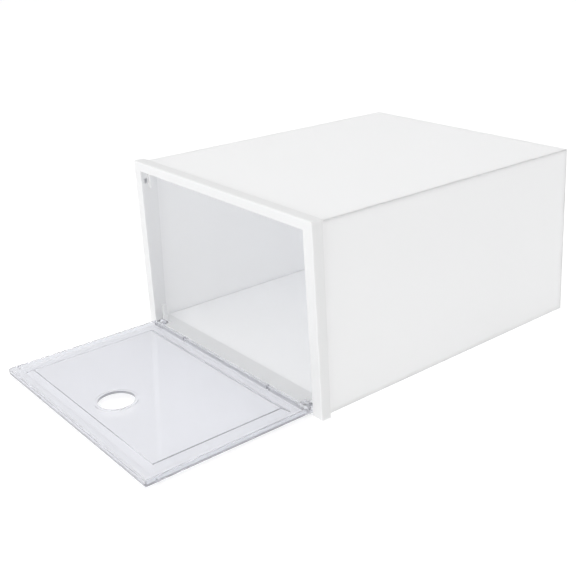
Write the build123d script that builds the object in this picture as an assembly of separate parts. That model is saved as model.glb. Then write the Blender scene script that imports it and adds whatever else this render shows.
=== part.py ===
from build123d import *
import os
from math import atan2, cos, degrees, radians, sin, tan

# Drop-front shoe box: five plain panels, a front frame that slides over their
# front edges, and a clear door that hinges at the frame's foot.  Lengths are
# millimetres.  While it is modelled, y = 0 is the foot of the frame's front
# face and z = 0 is the surface the box stands on; everything is then moved so
# that the origin is the bottom centre of the whole box with its door open.

# ---- Body ----
body_width = 230.0
body_height = 145.2
body_depth = 280.0
panel_wall = 2.0
seam_gap = 0.02            # between two panels at their mitred edge
body_edge_radius = 0.6     # the body's outer edges, where two panels meet
frame_proud = 1.8          # how far the frame stands out from the panels all round
base_lift = frame_proud    # the panels start this far above the floor

# ---- Panel joints: short keys on one mitred edge, in slots of the other ----
key_size = 0.9             # square section, centred in the panel's wall
key_length = 15.0
key_clearance = 0.15       # slot minus key, on each side
side_key_pitch = 85.0
back_key_pitch = 70.0
upright_key_pitch = 55.0

# ---- Rear feet under the bottom panel ----
foot_inset_x = 16.0
foot_inset_y = 8.0
foot_length = 42.0
foot_depth = 9.0

# ---- Front frame ----
lean = 1.75                # the front face leans forward at the top, degrees
web_wall = 2.0             # front face of the frame
band_reach_foot = 8.2      # how far back the outer band goes, at the foot
band_reach_top = 5.2       # and at the top
frame_leg = 8.0            # from the side panel's outer face to the opening
frame_head = 5.8           # from the top panel's outer face to the opening
sill_height = 5.0
return_wall = 2.0          # inner wall of the frame
return_reach = 10.9
sill_reach = 15.5
rib_wall = 1.5
rib_count_side = 4
rib_count_top = 5
frame_edge_radius = 0.8

# ---- Door ----
door_side_gap = 2.0        # to the frame's opening, on each side
door_head_gap = 0.45       # to the top of the opening, when shut
door_foot_gap = 1.11       # to the sill, when shut
door_front_gap = 0.7       # between the open door's hinge edge and the frame's foot
door_height = 4.3          # over the rim
sheet = 1.2
rim_wall = 1.5
hinge_rim_wall = 3.0
panel_inset_side = 15.0    # from the door's edge to the raised panel's top
panel_inset_free = 14.3
panel_inset_hinge = 15.0
bevel_width = 5.0
panel_below_rim = 0.2
rim_gap_width = 2.4        # notches in the hinge rim
rim_gap_places = (-57.0, 58.0)
door_corner_radius = 1.0
rim_edge_radius = 0.4
panel_edge_radius = 0.5

# ---- Finger hole, with a raised ring round it ----
finger_hole_radius = 13.8
finger_ring_radius = 16.0
finger_ring_height = 0.8
finger_hole_from_free_edge = 37.6

# ---- Hinge ----
pivot_y = 2.81
pivot_above_underside = 0.8
pin_radius = 1.25
pin_clearance = 0.06
barrel_wall = 0.65
barrel_root = 0.2          # how far the barrel is sunk into the ear
ear_from_edge = 4.0        # from the door's side edge to the ear
ear_length = 6.5
ear_above_door = 1.4
ear_below_door = 0.5
ear_behind_pivot = 1.89
ear_corner_radius = 2.0
swing_clearance = 0.3      # between the turning door and the sill's rounded nose
pocket_clearance = 0.5
hinge_boss_reach = 3.0     # from the frame's inner face into the leg

# ---- Stops and catch ----
stop_width = 3.3
stop_gap = 0.3             # between a stop and the closed door
stop_depth = 3.2
lower_stop_top = 18.0
stop_foot_width = 5.3      # the lower stops widen towards the sill
stop_foot_top = 13.0
upper_stop_length = 15.7
catch_from_free_edge = 8.8
catch_hole_width = 3.0
catch_hole_height = 4.2
catch_gap = 0.3
catch_nub_radius = 1.2

# ---- Worked out from the values above ----
half_width = body_width / 2
panel_base = base_lift
panel_top = base_lift + body_height
frame_half = half_width + frame_proud
frame_top = panel_top + frame_proud
slope = tan(radians(lean))
inner_half = half_width - panel_wall
inner_base = panel_base + panel_wall
inner_top = panel_top - panel_wall
inner_back = body_depth - panel_wall
opening_half = half_width - frame_leg
opening_top = panel_top - frame_head
closed_angle = 90.0 - lean
door_width = 2 * (opening_half - door_side_gap)
door_edge_y = -door_front_gap                        # hinge edge of the open door
door_swing = pivot_y - door_edge_y                   # from that edge to the pivot
pivot_z = sill_height + door_foot_gap - door_swing
door_under_z = pivot_z - pivot_above_underside
door_top_z = door_under_z + door_height
shut_top_z = opening_top - door_head_gap
shut_rise = shut_top_z - pivot_z - (door_top_z - pivot_z) * cos(radians(closed_angle))
door_length = shut_rise / sin(radians(closed_angle)) - door_swing
origin_y = (body_depth - door_length + door_edge_y) / 2
barrel_radius = pin_radius + barrel_wall
ear_outer_x = door_width / 2 - ear_from_edge
ear_inner_x = ear_outer_x - ear_length
ear_top_z = door_top_z + ear_above_door
ear_heel_z = door_under_z - ear_below_door
ear_rear_y = pivot_y + ear_behind_pivot
ear_sweep_back = pivot_y + ear_top_z - pivot_z       # rearmost reach of the ear when shut
pocket_back = ear_sweep_back + pocket_clearance
upper_stop_bottom = opening_top - upper_stop_length
BIG = 2 * (body_width + body_depth)


def front_y(z, depth=0.0):
    """y of the leaning front plane at height z, or of a plane that far behind it."""
    return depth / cos(radians(lean)) - z * slope


def block(x0, x1, y0, y1, z0, z1):
    """A box between two opposite corners."""
    size = (x1 - x0, y1 - y0, z1 - z0)
    return Pos(x0, y0, z0) * Box(*size, align=(Align.MIN, Align.MIN, Align.MIN))


def prism_x(points, x0, x1):
    """A (y, z) outline carried along x."""
    face = Plane.YZ * Polygon(*points, align=None)
    return Pos(x0, 0, 0) * extrude(face, amount=x1 - x0)


def behind_front(depth):
    """Everything behind the plane that lies this far behind the frame's front face."""
    low, high = -BIG, BIG
    points = [(front_y(low, depth), low), (BIG, low), (BIG, high), (front_y(high, depth), high)]
    return prism_x(points, -BIG, BIG)


def mirrored(shape):
    """The shape and its mirror image across x = 0."""
    return shape + mirror(shape, about=Plane.YZ)


def rod_x(radius, x0, x1, y, z):
    """A round bar along x."""
    return Pos((x0 + x1) / 2, y, z) * Rot(0, 90, 0) * Cylinder(radius, x1 - x0)


def closed_place(y, z):
    """Where a point of the open door goes when the door is shut."""
    turn = radians(closed_angle)
    dy, dz = y - pivot_y, z - pivot_z
    return pivot_y + dy * cos(turn) + dz * sin(turn), pivot_z - dy * sin(turn) + dz * cos(turn)


# ---------------------------------------------------------------- panels
panel_front_gap = 0.4                       # from the frame's web to the panels' front edges
panel_front = web_wall + panel_front_gap
mid_wall = panel_wall / 2
edge_x = half_width - mid_wall              # the middle of each wall, where the keys lie
edge_back = body_depth - mid_wall
edge_levels = (panel_base + mid_wall, panel_top - mid_wall)
key_rows = [body_depth / 2 + n * side_key_pitch for n in (-1, 0, 1)]
key_columns = [n * back_key_pitch for n in (-1, 0, 1)]
key_heights = [(panel_base + panel_top) / 2 + n * upright_key_pitch / 2 for n in (-1, 1)]


def body_outside():
    """The outside of the five panels together, with rounded edges."""
    body = block(-half_width, half_width, -BIG, body_depth, panel_base, panel_top)
    return fillet(body.edges().filter_by(Axis.Y) + body.edges().group_by(Axis.Y)[-1], body_edge_radius)


def mitred_plate(plane, width, length):
    """A plate whose four edges are cut at 45 degrees, laid inwards from its outer face."""
    plate = extrude(plane * Rectangle(width - seam_gap, length - seam_gap), amount=panel_wall, taper=45)
    return plate & body_outside()


def key(x, y, z, along, spare=0.0):
    """A square bar along one axis, or with some spare all round, the slot that takes it."""
    thick, long = key_size + 2 * spare, key_length + 2 * spare
    size = {"x": (long, thick, thick), "y": (thick, long, thick), "z": (thick, thick, long)}[along]
    return Pos(x, y, z) * Box(*size)


def level_slots(level):
    """The slots round the top or bottom panel, for the side and back panels' keys."""
    sides = [key(sign * edge_x, y, level, "y", key_clearance) for sign in (-1, 1) for y in key_rows]
    return sides + [key(x, edge_back, level, "x", key_clearance) for x in key_columns]


def make_top_panel():
    length = 2 * body_depth
    face = Plane(origin=(0, body_depth - length / 2, panel_top), x_dir=(1, 0, 0), z_dir=(0, 0, -1))
    plate = mitred_plate(face, body_width, length) & behind_front(panel_front)
    for slot in level_slots(edge_levels[1]):
        plate -= slot
    return plate


def make_bottom_panel():
    length = 2 * body_depth
    face = Plane(origin=(0, body_depth - length / 2, panel_base), x_dir=(1, 0, 0), z_dir=(0, 0, 1))
    plate = mitred_plate(face, body_width, length) & behind_front(panel_front)
    for slot in level_slots(edge_levels[0]):
        plate -= slot
    corner = block(ear_inner_x - 2 * pocket_clearance, opening_half + hinge_boss_reach + pocket_clearance,
                   -BIG, pocket_back + pocket_clearance, 0, inner_top)
    plate -= mirrored(corner)
    foot_x = half_width - foot_inset_x
    foot_y = body_depth - foot_inset_y
    foot = block(foot_x - foot_length, foot_x, foot_y - foot_depth, foot_y, 0, panel_base)
    return plate + mirrored(foot)


def make_side_panel():
    """The right side panel; the left one is its mirror image."""
    length = 2 * body_depth
    face = Plane(origin=(half_width, body_depth - length / 2, (panel_base + panel_top) / 2),
                 x_dir=(0, 0, 1), z_dir=(-1, 0, 0))
    plate = mitred_plate(face, body_height, length) & behind_front(panel_front)
    for y in key_rows:
        for z in edge_levels:
            plate += key(edge_x, y, z, "y")
    for z in key_heights:
        plate -= key(edge_x, edge_back, z, "z", key_clearance)
    return plate


def make_back_panel():
    face = Plane(origin=(0, body_depth, (panel_base + panel_top) / 2), x_dir=(1, 0, 0), z_dir=(0, -1, 0))
    plate = mitred_plate(face, body_width, body_height)
    for z in edge_levels:
        for x in key_columns:
            plate += key(x, edge_back, z, "x")
    for z in key_heights:
        plate += mirrored(key(edge_x, edge_back, z, "z"))
    return plate


# ---------------------------------------------------------------- front frame
def frame_shell():
    """Outer band, leaning front web and inner return, as one ring."""
    outline = [(0, 0), (band_reach_foot, 0), (band_reach_top, frame_top), (front_y(frame_top), frame_top)]
    outer = prism_x(outline, -frame_half, frame_half)
    front_edges = outer.faces().sort_by(Axis.Y)[0].edges()
    outer = fillet(front_edges, frame_edge_radius)
    channel = block(-half_width, half_width, -BIG, BIG, panel_base, panel_top) & behind_front(web_wall)
    sleeve_half = opening_half + return_wall
    sleeve = block(-sleeve_half, sleeve_half, -BIG, return_reach, inner_base, opening_top + return_wall)
    sill = block(-sleeve_half, sleeve_half, -BIG, sill_reach, inner_base, sill_height)
    ring = (outer - channel) + ((sleeve + sill) & behind_front(0.1))
    ring -= block(-opening_half, opening_half, -BIG, BIG, sill_height, opening_top)
    nose = block(-opening_half, opening_half, -BIG, pivot_y, pivot_z, opening_top)
    return ring - (nose - rod_x(door_swing - swing_clearance, -opening_half, opening_half, pivot_y, pivot_z))


def clip_ribs():
    """Short ribs in the frame's channel that press the panels against the outer band."""
    x0, x1 = opening_half + return_wall, inner_half
    z_span = opening_top - 2 * sill_height
    ribs = None
    for n in range(rib_count_side):
        z = 2 * sill_height + z_span * (n + 0.5) / rib_count_side
        rib = block(x0, x1, 0, return_reach, z, z + rib_wall)
        ribs = rib if ribs is None else ribs + rib
    ribs = mirrored(ribs)
    for n in range(rib_count_top):
        x = (n + 0.5 - rib_count_top / 2) * 2 * opening_half / rib_count_top
        ribs += block(x, x + rib_wall, 0, return_reach, opening_top + return_wall, inner_top)
    return ribs


def door_stop(low, high):
    """A ledge on the frame's side wall that the shut door's inner face comes up to."""
    near = door_face_depth + stop_gap
    far = near + stop_depth
    outline = [(front_y(low, near), low), (front_y(low, far), low),
               (front_y(high, far), high), (front_y(high, near), high)]
    slab = prism_x(outline, opening_half - stop_foot_width, opening_half + return_wall / 2)
    foot_x, shank_x, root_x = opening_half - stop_foot_width, opening_half - stop_width, opening_half + return_wall
    face = [(root_x, 0), (foot_x, 0), (foot_x, sill_height), (shank_x, stop_foot_top),
            (shank_x, frame_top), (root_x, frame_top)]
    front = Plane.XZ * Polygon(*face, align=None)
    return slab & extrude(front, amount=2 * band_reach_foot, both=True)


def make_front_frame():
    frame = frame_shell() + clip_ribs()
    lower = door_stop(sill_height - 0.5, lower_stop_top)
    upper = door_stop(upper_stop_bottom, opening_top + return_wall / 2)
    boss = block(opening_half + return_wall / 2, opening_half + hinge_boss_reach,
                 front_y(0, web_wall / 2), pocket_back, base_lift / 2, 2 * sill_height)
    frame += mirrored(lower + upper + boss)

    ear_pocket = block(ear_inner_x - pocket_clearance, ear_outer_x + pocket_clearance,
                       -BIG, pocket_back, -1, sill_height + 1)
    barrel_pocket = block(ear_outer_x - pocket_clearance, opening_half,
                          -BIG, pivot_y + barrel_radius + pocket_clearance, -1, sill_height + 1)
    pin_hole = rod_x(pin_radius + pin_clearance, opening_half - 1, opening_half + hinge_boss_reach + 1,
                     pivot_y, pivot_z)
    catch_hole = Pos(opening_half + return_wall / 2, catch_y, catch_z) * Rot(lean, 0, 0) * Box(
        2 * return_wall, catch_hole_width, catch_hole_height)
    return frame - mirrored(ear_pocket + barrel_pocket + pin_hole + catch_hole)


# ---------------------------------------------------------------- door
door_inner_face_y = closed_place(door_edge_y, door_top_z)[0]
door_inner_face_z = closed_place(door_edge_y, door_top_z)[1]
door_face_depth = (door_inner_face_y + door_inner_face_z * slope) * cos(radians(lean))
catch_open_y = door_edge_y - door_length + catch_from_free_edge
catch_y, catch_z = closed_place(catch_open_y, door_under_z + door_height / 2)
finger_y = door_edge_y - door_length + finger_hole_from_free_edge


def door_rect(x_half, y_free, y_hinge, z):
    """A level rectangle across the open door."""
    width = y_hinge - y_free
    return Pos(0, (y_free + y_hinge) / 2, z) * Rectangle(2 * x_half, width)


def raised_panel(z_foot, z_crown):
    """The block under the door's raised middle, with bevelled flanks."""
    half = door_width / 2 - panel_inset_side
    free = door_edge_y - door_length + panel_inset_free
    hinge = door_edge_y - panel_inset_hinge
    crown = door_rect(half, free, hinge, z_crown)
    foot = door_rect(half + bevel_width, free - bevel_width, hinge + bevel_width, z_foot)
    return loft([foot.face(), crown.face()], ruled=True)


def make_ear():
    """The right hinge ear: a rounded lug, a barrel and the moulded pin."""
    profile = [(door_edge_y - hinge_rim_wall / 2, ear_heel_z), (ear_rear_y, ear_heel_z),
               (ear_rear_y, ear_top_z), (door_edge_y - hinge_rim_wall / 2, ear_top_z)]
    lug = prism_x(profile, ear_inner_x, ear_outer_x)
    top_edges = lug.edges().filter_by(Axis.X).group_by(Axis.Z)[-1]
    lug = fillet(top_edges, ear_corner_radius)
    barrel = rod_x(barrel_radius, ear_outer_x - barrel_root, door_width / 2, pivot_y, pivot_z)
    web = block(ear_outer_x - barrel_root, door_width / 2, door_edge_y - rim_wall / 2, pivot_y,
                pivot_z - barrel_radius / 2, pivot_z + barrel_radius / 2)
    pin = rod_x(pin_radius, door_width / 2 - 1, opening_half + hinge_boss_reach - 0.5, pivot_y, pivot_z)
    return lug + barrel + web + pin


def make_door():
    free_y = door_edge_y - door_length
    slab = extrude(door_rect(door_width / 2, free_y, door_edge_y, door_under_z), amount=door_height)
    corners = slab.edges().filter_by(Axis.Z).group_by(Axis.Y)[0]
    slab = fillet(corners, door_corner_radius)
    levels = slab.edges().group_by(Axis.Z)
    slab = fillet(levels[0] + levels[-1], rim_edge_radius)
    hollow = door_rect(door_width / 2 - rim_wall, free_y + rim_wall, door_edge_y - hinge_rim_wall,
                       door_under_z + sheet)
    door = slab - extrude(hollow, amount=door_height)
    crown_z = door_top_z - panel_below_rim
    crown = raised_panel(door_under_z + sheet, crown_z)
    door += fillet(crown.edges() - crown.edges().group_by(Axis.Z)[0], panel_edge_radius)
    door -= raised_panel(door_under_z, crown_z - sheet)

    ring = Pos(0, finger_y, crown_z - sheet / 2) * Cylinder(
        finger_ring_radius, finger_ring_height + sheet / 2, align=(Align.CENTER, Align.CENTER, Align.MIN))
    door += ring
    door -= Pos(0, finger_y, crown_z) * Cylinder(finger_hole_radius, 6 * sheet)

    for x in rim_gap_places:
        door -= block(x - rim_gap_width / 2, x + rim_gap_width / 2, door_edge_y - hinge_rim_wall - 1,
                      door_edge_y + 1, door_under_z + sheet, door_top_z + 1)

    nub_reach = opening_half - catch_gap - door_width / 2
    nub = rod_x(catch_nub_radius, door_width / 2 - 1, door_width / 2 + nub_reach,
                catch_open_y, door_under_z + door_height / 2)
    return door + mirrored(make_ear() + nub)


# ---------------------------------------------------------------- write the parts
def main():
    side = make_side_panel()
    parts = {
        "front_frame": make_front_frame(),
        "drop_door": make_door(),
        "top_panel": make_top_panel(),
        "bottom_panel": make_bottom_panel(),
        "right_side_panel": side,
        "left_side_panel": mirror(side, about=Plane.YZ),
        "back_panel": make_back_panel(),
    }
    os.makedirs("parts", exist_ok=True)
    for name, shape in parts.items():
        placed = Pos(0, -origin_y, 0) * shape
        export_step(placed, f"parts/{name}.step")


main()
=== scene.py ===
import bpy
from math import radians
from mathutils import Matrix, Vector

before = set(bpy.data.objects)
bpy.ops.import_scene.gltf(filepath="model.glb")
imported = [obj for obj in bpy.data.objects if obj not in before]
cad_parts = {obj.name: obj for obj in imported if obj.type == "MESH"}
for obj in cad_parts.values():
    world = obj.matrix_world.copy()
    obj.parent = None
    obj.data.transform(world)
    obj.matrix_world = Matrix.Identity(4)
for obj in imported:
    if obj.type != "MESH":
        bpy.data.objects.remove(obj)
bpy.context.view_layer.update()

# ---- Camera: the photograph's angle, in metres and degrees, its lens in millimetres ----
CAMERA_PLACE = (0.5812, -0.4579, 0.3471)
CAMERA_YAW = -50.12        # negative is left of the +Y direction
CAMERA_PITCH = 15.14       # downwards
CAMERA_ROLL = -1.58
CAMERA_LENS = 59.67
CAMERA_SENSOR = 36.0
CAMERA_SHIFT = (-0.052, -0.205)
CAMERA_REACH = 100.0

# ---- Studio, in metres and watts ----
WHITE = (1.0, 1.0, 1.0, 1.0)
FLOOR_HALF = 30.0
FLOOR_GLOW = 0.55
BACKDROP_BRIGHT = 1.0                     # where the camera sees the backdrop directly
WORLD_LIGHT_SIDE = (-0.17, -0.65, 0.74)   # the side that the studio is lit from
WORLD_BRIGHT = 0.93
WORLD_DIM = 0.1
WORLD_SPREAD = 0.8                        # cosine of the angle at which full light and full shade begin
LAMP_AIM = (0, 0, 0.05)
KEY_PLACE, KEY_SIZE, KEY_WATTS = (-0.25, -2.2, 0.45), 0.8, 3.6
TOP_PLACE, TOP_SIZE, TOP_WATTS = (-0.2, 0.3, 2.1), 1.2, 9.0

# ---- Materials ----
PLASTIC_SCATTER = 0.004    # metres that light goes inside the white and the milky plastic
NOISE_DETAIL = 3.0


def socket(node, name, value):
    node.inputs[name].default_value = value


def new_material(name):
    material = bpy.data.materials.new(name)
    material.use_nodes = True
    tree = material.node_tree
    shader = tree.nodes["Principled BSDF"]
    return material, tree, shader


def speckle(tree, scale, low=0.0, high=1.0):
    """Noise over the object's own coordinates, mapped between two values."""
    coords = tree.nodes.new("ShaderNodeTexCoord")
    noise = tree.nodes.new("ShaderNodeTexNoise")
    socket(noise, "Scale", scale)
    socket(noise, "Detail", NOISE_DETAIL)
    span = tree.nodes.new("ShaderNodeMapRange")
    socket(span, "To Min", low)
    socket(span, "To Max", high)
    tree.links.new(coords.outputs["Object"], noise.inputs["Vector"])
    tree.links.new(noise.outputs["Fac"], span.inputs["Value"])
    return span.outputs["Result"]


def tint(tree, shader, scale, colour_a, colour_b):
    """A base colour that drifts between two close colours."""
    mix = tree.nodes.new("ShaderNodeMix")
    mix.data_type = "RGBA"
    mix.inputs["A"].default_value = (*colour_a, 1.0)
    mix.inputs["B"].default_value = (*colour_b, 1.0)
    tree.links.new(speckle(tree, scale), mix.inputs["Factor"])
    tree.links.new(mix.outputs["Result"], shader.inputs["Base Color"])


def wear(tree, shader, scale, smooth, rough):
    """A roughness that drifts between two values."""
    tree.links.new(speckle(tree, scale, smooth, rough), shader.inputs["Roughness"])


def bump(tree, shader, scale, strength, distance):
    """A fine grain on the surface."""
    node = tree.nodes.new("ShaderNodeBump")
    socket(node, "Strength", strength)
    socket(node, "Distance", distance)
    tree.links.new(speckle(tree, scale), node.inputs["Height"])
    tree.links.new(node.outputs["Normal"], shader.inputs["Normal"])


def scatter(shader, weight):
    """Lets part of the light travel inside the plastic."""
    socket(shader, "Subsurface Weight", weight)
    socket(shader, "Subsurface Radius", (1.0, 1.0, 1.0))
    socket(shader, "Subsurface Scale", PLASTIC_SCATTER)


def frame_plastic():
    """White injection-moulded plastic that lets a little light through."""
    material, tree, shader = new_material("white_frame_plastic")
    tint(tree, shader, 9.0, (0.89, 0.893, 0.895), (0.91, 0.913, 0.915))
    wear(tree, shader, 40.0, 0.30, 0.38)
    socket(shader, "IOR", 1.49)
    scatter(shader, 0.3)
    bump(tree, shader, 900.0, strength=0.12, distance=0.00005)
    return material


def panel_plastic():
    """Milky plastic: most light scatters back, some goes through."""
    material, tree, shader = new_material("frosted_panel_plastic")
    tint(tree, shader, 6.0, (0.982, 0.984, 0.989), (0.988, 0.99, 0.994))
    wear(tree, shader, 60.0, 0.42, 0.52)
    socket(shader, "IOR", 1.49)
    scatter(shader, 0.55)
    bump(tree, shader, 1400.0, strength=0.2, distance=0.00005)
    return material


def door_plastic():
    """Clear plastic with a faint lavender haze."""
    material, tree, shader = new_material("clear_door_plastic")
    tint(tree, shader, 7.0, (0.91, 0.916, 0.952), (0.92, 0.926, 0.96))
    wear(tree, shader, 50.0, 0.04, 0.07)
    socket(shader, "IOR", 1.36)
    socket(shader, "Transmission Weight", 0.8)
    bump(tree, shader, 35.0, strength=0.05, distance=0.0002)
    return material


def floor_paint():
    """A matt pale ground that glows a little, so that it stays white under the box."""
    material, tree, shader = new_material("pale_floor")
    tint(tree, shader, 0.6, (0.59, 0.59, 0.59), (0.6, 0.6, 0.6))
    socket(shader, "Emission Color", WHITE)
    socket(shader, "Emission Strength", FLOOR_GLOW)
    socket(shader, "Roughness", 0.9)
    socket(shader, "Specular IOR Level", 0.0)
    return material


def dress(node, material):
    """Puts a material in each of a CAD node's slots."""
    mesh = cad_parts[node].data
    for n in range(len(mesh.materials)):
        mesh.materials[n] = material
    if not mesh.materials:
        mesh.materials.append(material)


def make_floor():
    mesh = bpy.data.meshes.new("floor")
    corners = [(x * FLOOR_HALF, y * FLOOR_HALF, 0) for x, y in ((-1, -1), (1, -1), (1, 1), (-1, 1))]
    mesh.from_pydata(corners, [], [(0, 1, 2, 3)])
    mesh.materials.append(floor_paint())
    floor = bpy.data.objects.new("floor", mesh)
    bpy.context.scene.collection.objects.link(floor)


def make_world():
    """A studio that is brighter on the side the light comes from, in front of a white backdrop."""
    world = bpy.data.worlds.new("studio")
    bpy.context.scene.world = world
    world.use_nodes = True
    tree = world.node_tree
    background = tree.nodes["Background"]
    coords = tree.nodes.new("ShaderNodeTexCoord")
    facing = tree.nodes.new("ShaderNodeVectorMath")
    facing.operation = "DOT_PRODUCT"
    facing.inputs[1].default_value = Vector(WORLD_LIGHT_SIDE).normalized()
    span = tree.nodes.new("ShaderNodeMapRange")
    socket(span, "From Min", -WORLD_SPREAD)
    socket(span, "From Max", WORLD_SPREAD)
    socket(span, "To Min", WORLD_DIM)
    socket(span, "To Max", WORLD_BRIGHT)
    rays = tree.nodes.new("ShaderNodeLightPath")
    backdrop = tree.nodes.new("ShaderNodeMix")
    socket(backdrop, "B", BACKDROP_BRIGHT)
    socket(background, "Color", WHITE)
    tree.links.new(coords.outputs["Generated"], facing.inputs[0])
    tree.links.new(facing.outputs["Value"], span.inputs["Value"])
    tree.links.new(rays.outputs["Is Camera Ray"], backdrop.inputs["Factor"])
    tree.links.new(span.outputs["Result"], backdrop.inputs["A"])
    tree.links.new(backdrop.outputs["Result"], background.inputs["Strength"])


def area_light(name, place, size, watts):
    """A square soft lamp that faces the box."""
    light = bpy.data.lights.new(name, "AREA")
    light.shape = "SQUARE"
    light.size = size
    light.energy = watts
    lamp = bpy.data.objects.new(name, light)
    lamp.location = place
    lamp.rotation_euler = (Vector(LAMP_AIM) - Vector(place)).to_track_quat("-Z", "Y").to_euler()
    bpy.context.scene.collection.objects.link(lamp)


def make_camera():
    data = bpy.data.cameras.new("camera")
    data.lens = CAMERA_LENS
    data.sensor_width = CAMERA_SENSOR
    data.shift_x, data.shift_y = CAMERA_SHIFT
    data.clip_end = CAMERA_REACH
    camera = bpy.data.objects.new("camera", data)
    yaw = Matrix.Rotation(radians(-CAMERA_YAW), 4, "Z")
    pitch = Matrix.Rotation(radians(90 - CAMERA_PITCH), 4, "X")
    roll = Matrix.Rotation(radians(CAMERA_ROLL), 4, "Z")
    camera.matrix_world = Matrix.Translation(CAMERA_PLACE) @ yaw @ pitch @ roll
    bpy.context.scene.collection.objects.link(camera)
    bpy.context.scene.camera = camera


def set_light_paths():
    """Bounces enough for light to reach deep into the box and through the door."""
    cycles = bpy.context.scene.cycles
    cycles.max_bounces = 64
    cycles.diffuse_bounces = 48
    cycles.transmission_bounces = 20


dress("front_frame", frame_plastic())
dress("drop_door", door_plastic())
frosted = panel_plastic()
for panel in ("top_panel", "bottom_panel", "right_side_panel", "left_side_panel", "back_panel"):
    dress(panel, frosted)

make_floor()
make_world()
area_light("key", KEY_PLACE, KEY_SIZE, KEY_WATTS)
area_light("top", TOP_PLACE, TOP_SIZE, TOP_WATTS)
make_camera()
bpy.context.scene.view_settings.view_transform = "Standard"
set_light_paths()
